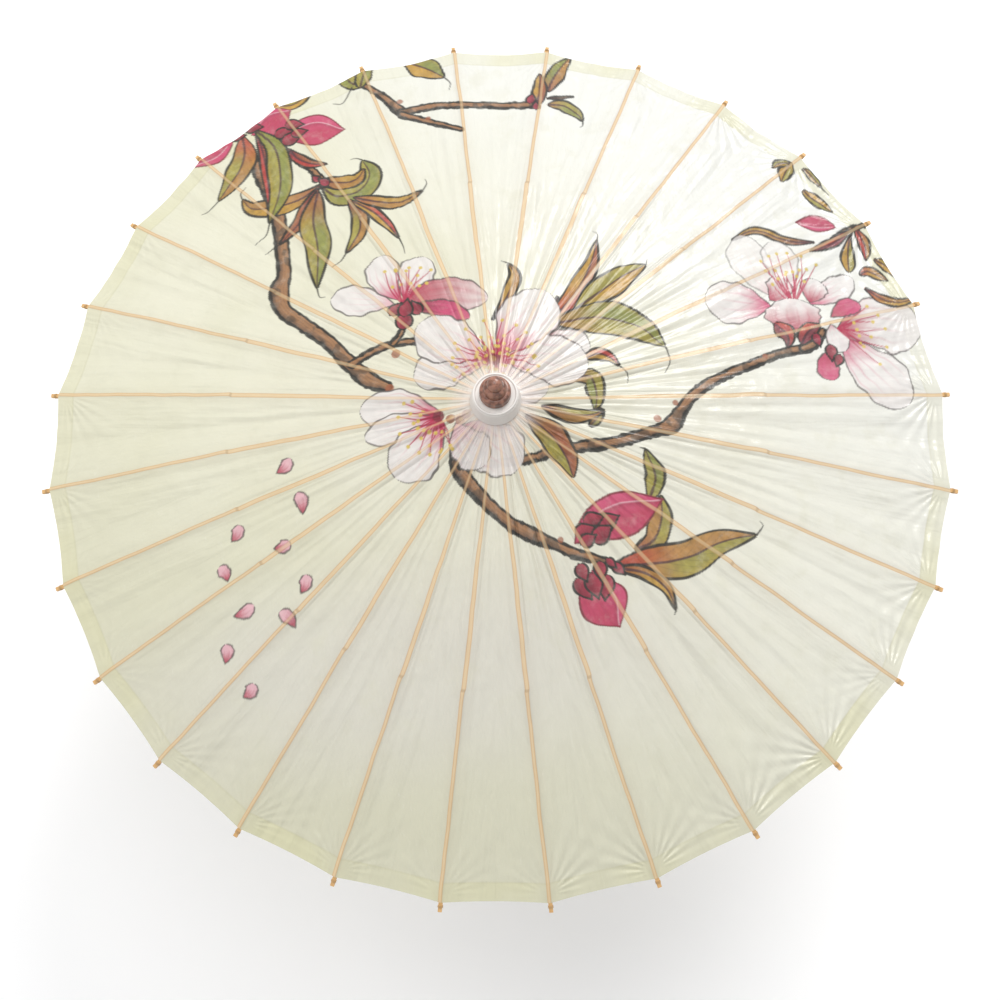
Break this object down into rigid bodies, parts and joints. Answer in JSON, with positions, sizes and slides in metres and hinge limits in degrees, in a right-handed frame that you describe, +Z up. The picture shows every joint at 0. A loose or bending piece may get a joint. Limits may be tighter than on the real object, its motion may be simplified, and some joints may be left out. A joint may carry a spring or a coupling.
{
  "type": "oil paper umbrella",
  "caption": "Open oiled-paper umbrella: split bamboo ribs and stretchers on a turned notch and sliding runner, shallow pleated cone, capped hub and tiered wooden finial.",
  "frame": {"origin": "middle of the handle's bottom face, on the shaft's axis", "axes": "+Z up the shaft to the finial; the first rib points along -Y, the front; the umbrella is open"},
  "size_m": [0.8414, 0.8414, 0.6283],
  "materials": {
    "oiled_paper": "oiled, glossy",
    "rib_bamboo": "split bamboo, lightly oiled",
    "stretcher_bamboo": "split bamboo, lightly oiled",
    "turned_wood": "turned, satin",
    "shaft_wood": "satin"
  },
  "bodies": {
    "frame": {"shaft": "shaft_wood", "crown": "turned_wood", "canopy": "oiled_paper"},
    "runner": {"runner": "turned_wood"},
    "rib_01": {"rib_01": "rib_bamboo"},
    "rib_02": {"rib_02": "rib_bamboo"},
    "rib_03": {"rib_03": "rib_bamboo"},
    "rib_04": {"rib_04": "rib_bamboo"},
    "rib_05": {"rib_05": "rib_bamboo"},
    "rib_06": {"rib_06": "rib_bamboo"},
    "rib_07": {"rib_07": "rib_bamboo"},
    "rib_08": {"rib_08": "rib_bamboo"},
    "rib_09": {"rib_09": "rib_bamboo"},
    "rib_10": {"rib_10": "rib_bamboo"},
    "rib_11": {"rib_11": "rib_bamboo"},
    "rib_12": {"rib_12": "rib_bamboo"},
    "rib_13": {"rib_13": "rib_bamboo"},
    "rib_14": {"rib_14": "rib_bamboo"},
    "rib_15": {"rib_15": "rib_bamboo"},
    "rib_16": {"rib_16": "rib_bamboo"},
    "rib_17": {"rib_17": "rib_bamboo"},
    "rib_18": {"rib_18": "rib_bamboo"},
    "rib_19": {"rib_19": "rib_bamboo"},
    "rib_20": {"rib_20": "rib_bamboo"},
    "rib_21": {"rib_21": "rib_bamboo"},
    "rib_22": {"rib_22": "rib_bamboo"},
    "rib_23": {"rib_23": "rib_bamboo"},
    "rib_24": {"rib_24": "rib_bamboo"},
    "rib_25": {"rib_25": "rib_bamboo"},
    "rib_26": {"rib_26": "rib_bamboo"},
    "rib_27": {"rib_27": "rib_bamboo"},
    "rib_28": {"rib_28": "rib_bamboo"},
    "stretcher_01": {"stretcher_01": "stretcher_bamboo"},
    "stretcher_02": {"stretcher_02": "stretcher_bamboo"},
    "stretcher_03": {"stretcher_03": "stretcher_bamboo"},
    "stretcher_04": {"stretcher_04": "stretcher_bamboo"},
    "stretcher_05": {"stretcher_05": "stretcher_bamboo"},
    "stretcher_06": {"stretcher_06": "stretcher_bamboo"},
    "stretcher_07": {"stretcher_07": "stretcher_bamboo"},
    "stretcher_08": {"stretcher_08": "stretcher_bamboo"},
    "stretcher_09": {"stretcher_09": "stretcher_bamboo"},
    "stretcher_10": {"stretcher_10": "stretcher_bamboo"},
    "stretcher_11": {"stretcher_11": "stretcher_bamboo"},
    "stretcher_12": {"stretcher_12": "stretcher_bamboo"},
    "stretcher_13": {"stretcher_13": "stretcher_bamboo"},
    "stretcher_14": {"stretcher_14": "stretcher_bamboo"},
    "stretcher_15": {"stretcher_15": "stretcher_bamboo"},
    "stretcher_16": {"stretcher_16": "stretcher_bamboo"},
    "stretcher_17": {"stretcher_17": "stretcher_bamboo"},
    "stretcher_18": {"stretcher_18": "stretcher_bamboo"},
    "stretcher_19": {"stretcher_19": "stretcher_bamboo"},
    "stretcher_20": {"stretcher_20": "stretcher_bamboo"},
    "stretcher_21": {"stretcher_21": "stretcher_bamboo"},
    "stretcher_22": {"stretcher_22": "stretcher_bamboo"},
    "stretcher_23": {"stretcher_23": "stretcher_bamboo"},
    "stretcher_24": {"stretcher_24": "stretcher_bamboo"},
    "stretcher_25": {"stretcher_25": "stretcher_bamboo"},
    "stretcher_26": {"stretcher_26": "stretcher_bamboo"},
    "stretcher_27": {"stretcher_27": "stretcher_bamboo"},
    "stretcher_28": {"stretcher_28": "stretcher_bamboo"}
  },
  "joints": [
    {"name": "runner_slide", "type": "slide", "parent": "frame", "child": "runner", "axis": [0, 0, -1], "range_m": [0, 0.34042], "deforming": ["canopy"]},
    {"name": "rib_hinge_01", "type": "hinge", "parent": "frame", "child": "rib_01", "pos_m": [0, -0.015, 0.5793], "axis": [1, 0, 0], "range_deg": [-0.2, 72.8]},
    {"name": "rib_hinge_02", "type": "hinge", "parent": "frame", "child": "rib_02", "pos_m": [0.00334, -0.01462, 0.5793], "axis": [0.9749, 0.2225, 0], "range_deg": [-0.2, 72.8]},
    {"name": "rib_hinge_03", "type": "hinge", "parent": "frame", "child": "rib_03", "pos_m": [0.00651, -0.01351, 0.5793], "axis": [0.901, 0.4339, 0], "range_deg": [-0.2, 72.8]},
    {"name": "rib_hinge_04", "type": "hinge", "parent": "frame", "child": "rib_04", "pos_m": [0.00935, -0.01173, 0.5793], "axis": [0.7818, 0.6235, 0], "range_deg": [-0.2, 72.8]},
    {"name": "rib_hinge_05", "type": "hinge", "parent": "frame", "child": "rib_05", "pos_m": [0.01173, -0.00935, 0.5793], "axis": [0.6235, 0.7818, 0], "range_deg": [-0.2, 72.8]},
    {"name": "rib_hinge_06", "type": "hinge", "parent": "frame", "child": "rib_06", "pos_m": [0.01351, -0.00651, 0.5793], "axis": [0.4339, 0.901, 0], "range_deg": [-0.2, 72.8]},
    {"name": "rib_hinge_07", "type": "hinge", "parent": "frame", "child": "rib_07", "pos_m": [0.01462, -0.00334, 0.5793], "axis": [0.2225, 0.9749, 0], "range_deg": [-0.2, 72.8]},
    {"name": "rib_hinge_08", "type": "hinge", "parent": "frame", "child": "rib_08", "pos_m": [0.015, 0, 0.5793], "axis": [0, 1, 0], "range_deg": [-0.2, 72.8]},
    {"name": "rib_hinge_09", "type": "hinge", "parent": "frame", "child": "rib_09", "pos_m": [0.01462, 0.00334, 0.5793], "axis": [-0.2225, 0.9749, 0], "range_deg": [-0.2, 72.8]},
    {"name": "rib_hinge_10", "type": "hinge", "parent": "frame", "child": "rib_10", "pos_m": [0.01351, 0.00651, 0.5793], "axis": [-0.4339, 0.901, 0], "range_deg": [-0.2, 72.8]},
    {"name": "rib_hinge_11", "type": "hinge", "parent": "frame", "child": "rib_11", "pos_m": [0.01173, 0.00935, 0.5793], "axis": [-0.6235, 0.7818, 0], "range_deg": [-0.2, 72.8]},
    {"name": "rib_hinge_12", "type": "hinge", "parent": "frame", "child": "rib_12", "pos_m": [0.00935, 0.01173, 0.5793], "axis": [-0.7818, 0.6235, 0], "range_deg": [-0.2, 72.8]},
    {"name": "rib_hinge_13", "type": "hinge", "parent": "frame", "child": "rib_13", "pos_m": [0.00651, 0.01351, 0.5793], "axis": [-0.901, 0.4339, 0], "range_deg": [-0.2, 72.8]},
    {"name": "rib_hinge_14", "type": "hinge", "parent": "frame", "child": "rib_14", "pos_m": [0.00334, 0.01462, 0.5793], "axis": [-0.9749, 0.2225, 0], "range_deg": [-0.2, 72.8]},
    {"name": "rib_hinge_15", "type": "hinge", "parent": "frame", "child": "rib_15", "pos_m": [0, 0.015, 0.5793], "axis": [-1, 0, 0], "range_deg": [-0.2, 72.8]},
    {"name": "rib_hinge_16", "type": "hinge", "parent": "frame", "child": "rib_16", "pos_m": [-0.00334, 0.01462, 0.5793], "axis": [-0.9749, -0.2225, 0], "range_deg": [-0.2, 72.8]},
    {"name": "rib_hinge_17", "type": "hinge", "parent": "frame", "child": "rib_17", "pos_m": [-0.00651, 0.01351, 0.5793], "axis": [-0.901, -0.4339, 0], "range_deg": [-0.2, 72.8]},
    {"name": "rib_hinge_18", "type": "hinge", "parent": "frame", "child": "rib_18", "pos_m": [-0.00935, 0.01173, 0.5793], "axis": [-0.7818, -0.6235, 0], "range_deg": [-0.2, 72.8]},
    {"name": "rib_hinge_19", "type": "hinge", "parent": "frame", "child": "rib_19", "pos_m": [-0.01173, 0.00935, 0.5793], "axis": [-0.6235, -0.7818, 0], "range_deg": [-0.2, 72.8]},
    {"name": "rib_hinge_20", "type": "hinge", "parent": "frame", "child": "rib_20", "pos_m": [-0.01351, 0.00651, 0.5793], "axis": [-0.4339, -0.901, 0], "range_deg": [-0.2, 72.8]},
    {"name": "rib_hinge_21", "type": "hinge", "parent": "frame", "child": "rib_21", "pos_m": [-0.01462, 0.00334, 0.5793], "axis": [-0.2225, -0.9749, 0], "range_deg": [-0.2, 72.8]},
    {"name": "rib_hinge_22", "type": "hinge", "parent": "frame", "child": "rib_22", "pos_m": [-0.015, 0, 0.5793], "axis": [0, -1, 0], "range_deg": [-0.2, 72.8]},
    {"name": "rib_hinge_23", "type": "hinge", "parent": "frame", "child": "rib_23", "pos_m": [-0.01462, -0.00334, 0.5793], "axis": [0.2225, -0.9749, 0], "range_deg": [-0.2, 72.8]},
    {"name": "rib_hinge_24", "type": "hinge", "parent": "frame", "child": "rib_24", "pos_m": [-0.01351, -0.00651, 0.5793], "axis": [0.4339, -0.901, 0], "range_deg": [-0.2, 72.8]},
    {"name": "rib_hinge_25", "type": "hinge", "parent": "frame", "child": "rib_25", "pos_m": [-0.01173, -0.00935, 0.5793], "axis": [0.6235, -0.7818, 0], "range_deg": [-0.2, 72.8]},
    {"name": "rib_hinge_26", "type": "hinge", "parent": "frame", "child": "rib_26", "pos_m": [-0.00935, -0.01173, 0.5793], "axis": [0.7818, -0.6235, 0], "range_deg": [-0.2, 72.8]},
    {"name": "rib_hinge_27", "type": "hinge", "parent": "frame", "child": "rib_27", "pos_m": [-0.00651, -0.01351, 0.5793], "axis": [0.901, -0.4339, 0], "range_deg": [-0.2, 72.8]},
    {"name": "rib_hinge_28", "type": "hinge", "parent": "frame", "child": "rib_28", "pos_m": [-0.00334, -0.01462, 0.5793], "axis": [0.9749, -0.2225, 0], "range_deg": [-0.2, 72.8]},
    {"name": "stretcher_hinge_01", "type": "hinge", "parent": "rib_01", "child": "stretcher_01", "pos_m": [0, -0.23409, 0.52386], "axis": [1, 0, 0], "range_deg": [-145.6, 0.4]},
    {"name": "stretcher_hinge_02", "type": "hinge", "parent": "rib_02", "child": "stretcher_02", "pos_m": [0.05209, -0.22823, 0.52386], "axis": [0.9749, 0.2225, 0], "range_deg": [-145.6, 0.4]},
    {"name": "stretcher_hinge_03", "type": "hinge", "parent": "rib_03", "child": "stretcher_03", "pos_m": [0.10157, -0.21091, 0.52386], "axis": [0.901, 0.4339, 0], "range_deg": [-145.6, 0.4]},
    {"name": "stretcher_hinge_04", "type": "hinge", "parent": "rib_04", "child": "stretcher_04", "pos_m": [0.14596, -0.18302, 0.52386], "axis": [0.7818, 0.6235, 0], "range_deg": [-145.6, 0.4]},
    {"name": "stretcher_hinge_05", "type": "hinge", "parent": "rib_05", "child": "stretcher_05", "pos_m": [0.18302, -0.14596, 0.52386], "axis": [0.6235, 0.7818, 0], "range_deg": [-145.6, 0.4]},
    {"name": "stretcher_hinge_06", "type": "hinge", "parent": "rib_06", "child": "stretcher_06", "pos_m": [0.21091, -0.10157, 0.52386], "axis": [0.4339, 0.901, 0], "range_deg": [-145.6, 0.4]},
    {"name": "stretcher_hinge_07", "type": "hinge", "parent": "rib_07", "child": "stretcher_07", "pos_m": [0.22823, -0.05209, 0.52386], "axis": [0.2225, 0.9749, 0], "range_deg": [-145.6, 0.4]},
    {"name": "stretcher_hinge_08", "type": "hinge", "parent": "rib_08", "child": "stretcher_08", "pos_m": [0.23409, 0, 0.52386], "axis": [0, 1, 0], "range_deg": [-145.6, 0.4]},
    {"name": "stretcher_hinge_09", "type": "hinge", "parent": "rib_09", "child": "stretcher_09", "pos_m": [0.22823, 0.05209, 0.52386], "axis": [-0.2225, 0.9749, 0], "range_deg": [-145.6, 0.4]},
    {"name": "stretcher_hinge_10", "type": "hinge", "parent": "rib_10", "child": "stretcher_10", "pos_m": [0.21091, 0.10157, 0.52386], "axis": [-0.4339, 0.901, 0], "range_deg": [-145.6, 0.4]},
    {"name": "stretcher_hinge_11", "type": "hinge", "parent": "rib_11", "child": "stretcher_11", "pos_m": [0.18302, 0.14596, 0.52386], "axis": [-0.6235, 0.7818, 0], "range_deg": [-145.6, 0.4]},
    {"name": "stretcher_hinge_12", "type": "hinge", "parent": "rib_12", "child": "stretcher_12", "pos_m": [0.14596, 0.18302, 0.52386], "axis": [-0.7818, 0.6235, 0], "range_deg": [-145.6, 0.4]},
    {"name": "stretcher_hinge_13", "type": "hinge", "parent": "rib_13", "child": "stretcher_13", "pos_m": [0.10157, 0.21091, 0.52386], "axis": [-0.901, 0.4339, 0], "range_deg": [-145.6, 0.4]},
    {"name": "stretcher_hinge_14", "type": "hinge", "parent": "rib_14", "child": "stretcher_14", "pos_m": [0.05209, 0.22823, 0.52386], "axis": [-0.9749, 0.2225, 0], "range_deg": [-145.6, 0.4]},
    {"name": "stretcher_hinge_15", "type": "hinge", "parent": "rib_15", "child": "stretcher_15", "pos_m": [0, 0.23409, 0.52386], "axis": [-1, 0, 0], "range_deg": [-145.6, 0.4]},
    {"name": "stretcher_hinge_16", "type": "hinge", "parent": "rib_16", "child": "stretcher_16", "pos_m": [-0.05209, 0.22823, 0.52386], "axis": [-0.9749, -0.2225, 0], "range_deg": [-145.6, 0.4]},
    {"name": "stretcher_hinge_17", "type": "hinge", "parent": "rib_17", "child": "stretcher_17", "pos_m": [-0.10157, 0.21091, 0.52386], "axis": [-0.901, -0.4339, 0], "range_deg": [-145.6, 0.4]},
    {"name": "stretcher_hinge_18", "type": "hinge", "parent": "rib_18", "child": "stretcher_18", "pos_m": [-0.14596, 0.18302, 0.52386], "axis": [-0.7818, -0.6235, 0], "range_deg": [-145.6, 0.4]},
    {"name": "stretcher_hinge_19", "type": "hinge", "parent": "rib_19", "child": "stretcher_19", "pos_m": [-0.18302, 0.14596, 0.52386], "axis": [-0.6235, -0.7818, 0], "range_deg": [-145.6, 0.4]},
    {"name": "stretcher_hinge_20", "type": "hinge", "parent": "rib_20", "child": "stretcher_20", "pos_m": [-0.21091, 0.10157, 0.52386], "axis": [-0.4339, -0.901, 0], "range_deg": [-145.6, 0.4]},
    {"name": "stretcher_hinge_21", "type": "hinge", "parent": "rib_21", "child": "stretcher_21", "pos_m": [-0.22823, 0.05209, 0.52386], "axis": [-0.2225, -0.9749, 0], "range_deg": [-145.6, 0.4]},
    {"name": "stretcher_hinge_22", "type": "hinge", "parent": "rib_22", "child": "stretcher_22", "pos_m": [-0.23409, 0, 0.52386], "axis": [0, -1, 0], "range_deg": [-145.6, 0.4]},
    {"name": "stretcher_hinge_23", "type": "hinge", "parent": "rib_23", "child": "stretcher_23", "pos_m": [-0.22823, -0.05209, 0.52386], "axis": [0.2225, -0.9749, 0], "range_deg": [-145.6, 0.4]},
    {"name": "stretcher_hinge_24", "type": "hinge", "parent": "rib_24", "child": "stretcher_24", "pos_m": [-0.21091, -0.10157, 0.52386], "axis": [0.4339, -0.901, 0], "range_deg": [-145.6, 0.4]},
    {"name": "stretcher_hinge_25", "type": "hinge", "parent": "rib_25", "child": "stretcher_25", "pos_m": [-0.18302, -0.14596, 0.52386], "axis": [0.6235, -0.7818, 0], "range_deg": [-145.6, 0.4]},
    {"name": "stretcher_hinge_26", "type": "hinge", "parent": "rib_26", "child": "stretcher_26", "pos_m": [-0.14596, -0.18302, 0.52386], "axis": [0.7818, -0.6235, 0], "range_deg": [-145.6, 0.4]},
    {"name": "stretcher_hinge_27", "type": "hinge", "parent": "rib_27", "child": "stretcher_27", "pos_m": [-0.10157, -0.21091, 0.52386], "axis": [0.901, -0.4339, 0], "range_deg": [-145.6, 0.4]},
    {"name": "stretcher_hinge_28", "type": "hinge", "parent": "rib_28", "child": "stretcher_28", "pos_m": [-0.05209, -0.22823, 0.52386], "axis": [0.9749, -0.2225, 0], "range_deg": [-145.6, 0.4]}
  ],
  "couplings": [
    {"joint": "rib_hinge_01", "follows": "runner_slide", "rad_per_m": 3.7222},
    {"joint": "rib_hinge_02", "follows": "runner_slide", "rad_per_m": 3.7222},
    {"joint": "rib_hinge_03", "follows": "runner_slide", "rad_per_m": 3.7222},
    {"joint": "rib_hinge_04", "follows": "runner_slide", "rad_per_m": 3.7222},
    {"joint": "rib_hinge_05", "follows": "runner_slide", "rad_per_m": 3.7222},
    {"joint": "rib_hinge_06", "follows": "runner_slide", "rad_per_m": 3.7222},
    {"joint": "rib_hinge_07", "follows": "runner_slide", "rad_per_m": 3.7222},
    {"joint": "rib_hinge_08", "follows": "runner_slide", "rad_per_m": 3.7222},
    {"joint": "rib_hinge_09", "follows": "runner_slide", "rad_per_m": 3.7222},
    {"joint": "rib_hinge_10", "follows": "runner_slide", "rad_per_m": 3.7222},
    {"joint": "rib_hinge_11", "follows": "runner_slide", "rad_per_m": 3.7222},
    {"joint": "rib_hinge_12", "follows": "runner_slide", "rad_per_m": 3.7222},
    {"joint": "rib_hinge_13", "follows": "runner_slide", "rad_per_m": 3.7222},
    {"joint": "rib_hinge_14", "follows": "runner_slide", "rad_per_m": 3.7222},
    {"joint": "rib_hinge_15", "follows": "runner_slide", "rad_per_m": 3.7222},
    {"joint": "rib_hinge_16", "follows": "runner_slide", "rad_per_m": 3.7222},
    {"joint": "rib_hinge_17", "follows": "runner_slide", "rad_per_m": 3.7222},
    {"joint": "rib_hinge_18", "follows": "runner_slide", "rad_per_m": 3.7222},
    {"joint": "rib_hinge_19", "follows": "runner_slide", "rad_per_m": 3.7222},
    {"joint": "rib_hinge_20", "follows": "runner_slide", "rad_per_m": 3.7222},
    {"joint": "rib_hinge_21", "follows": "runner_slide", "rad_per_m": 3.7222},
    {"joint": "rib_hinge_22", "follows": "runner_slide", "rad_per_m": 3.7222},
    {"joint": "rib_hinge_23", "follows": "runner_slide", "rad_per_m": 3.7222},
    {"joint": "rib_hinge_24", "follows": "runner_slide", "rad_per_m": 3.7222},
    {"joint": "rib_hinge_25", "follows": "runner_slide", "rad_per_m": 3.7222},
    {"joint": "rib_hinge_26", "follows": "runner_slide", "rad_per_m": 3.7222},
    {"joint": "rib_hinge_27", "follows": "runner_slide", "rad_per_m": 3.7222},
    {"joint": "rib_hinge_28", "follows": "runner_slide", "rad_per_m": 3.7222},
    {"joint": "stretcher_hinge_01", "follows": "runner_slide", "rad_per_m": -7.4445},
    {"joint": "stretcher_hinge_02", "follows": "runner_slide", "rad_per_m": -7.4445},
    {"joint": "stretcher_hinge_03", "follows": "runner_slide", "rad_per_m": -7.4445},
    {"joint": "stretcher_hinge_04", "follows": "runner_slide", "rad_per_m": -7.4445},
    {"joint": "stretcher_hinge_05", "follows": "runner_slide", "rad_per_m": -7.4445},
    {"joint": "stretcher_hinge_06", "follows": "runner_slide", "rad_per_m": -7.4445},
    {"joint": "stretcher_hinge_07", "follows": "runner_slide", "rad_per_m": -7.4445},
    {"joint": "stretcher_hinge_08", "follows": "runner_slide", "rad_per_m": -7.4445},
    {"joint": "stretcher_hinge_09", "follows": "runner_slide", "rad_per_m": -7.4445},
    {"joint": "stretcher_hinge_10", "follows": "runner_slide", "rad_per_m": -7.4445},
    {"joint": "stretcher_hinge_11", "follows": "runner_slide", "rad_per_m": -7.4445},
    {"joint": "stretcher_hinge_12", "follows": "runner_slide", "rad_per_m": -7.4445},
    {"joint": "stretcher_hinge_13", "follows": "runner_slide", "rad_per_m": -7.4445},
    {"joint": "stretcher_hinge_14", "follows": "runner_slide", "rad_per_m": -7.4445},
    {"joint": "stretcher_hinge_15", "follows": "runner_slide", "rad_per_m": -7.4445},
    {"joint": "stretcher_hinge_16", "follows": "runner_slide", "rad_per_m": -7.4445},
    {"joint": "stretcher_hinge_17", "follows": "runner_slide", "rad_per_m": -7.4445},
    {"joint": "stretcher_hinge_18", "follows": "runner_slide", "rad_per_m": -7.4445},
    {"joint": "stretcher_hinge_19", "follows": "runner_slide", "rad_per_m": -7.4445},
    {"joint": "stretcher_hinge_20", "follows": "runner_slide", "rad_per_m": -7.4445},
    {"joint": "stretcher_hinge_21", "follows": "runner_slide", "rad_per_m": -7.4445},
    {"joint": "stretcher_hinge_22", "follows": "runner_slide", "rad_per_m": -7.4445},
    {"joint": "stretcher_hinge_23", "follows": "runner_slide", "rad_per_m": -7.4445},
    {"joint": "stretcher_hinge_24", "follows": "runner_slide", "rad_per_m": -7.4445},
    {"joint": "stretcher_hinge_25", "follows": "runner_slide", "rad_per_m": -7.4445},
    {"joint": "stretcher_hinge_26", "follows": "runner_slide", "rad_per_m": -7.4445},
    {"joint": "stretcher_hinge_27", "follows": "runner_slide", "rad_per_m": -7.4445},
    {"joint": "stretcher_hinge_28", "follows": "runner_slide", "rad_per_m": -7.4445}
  ]
}
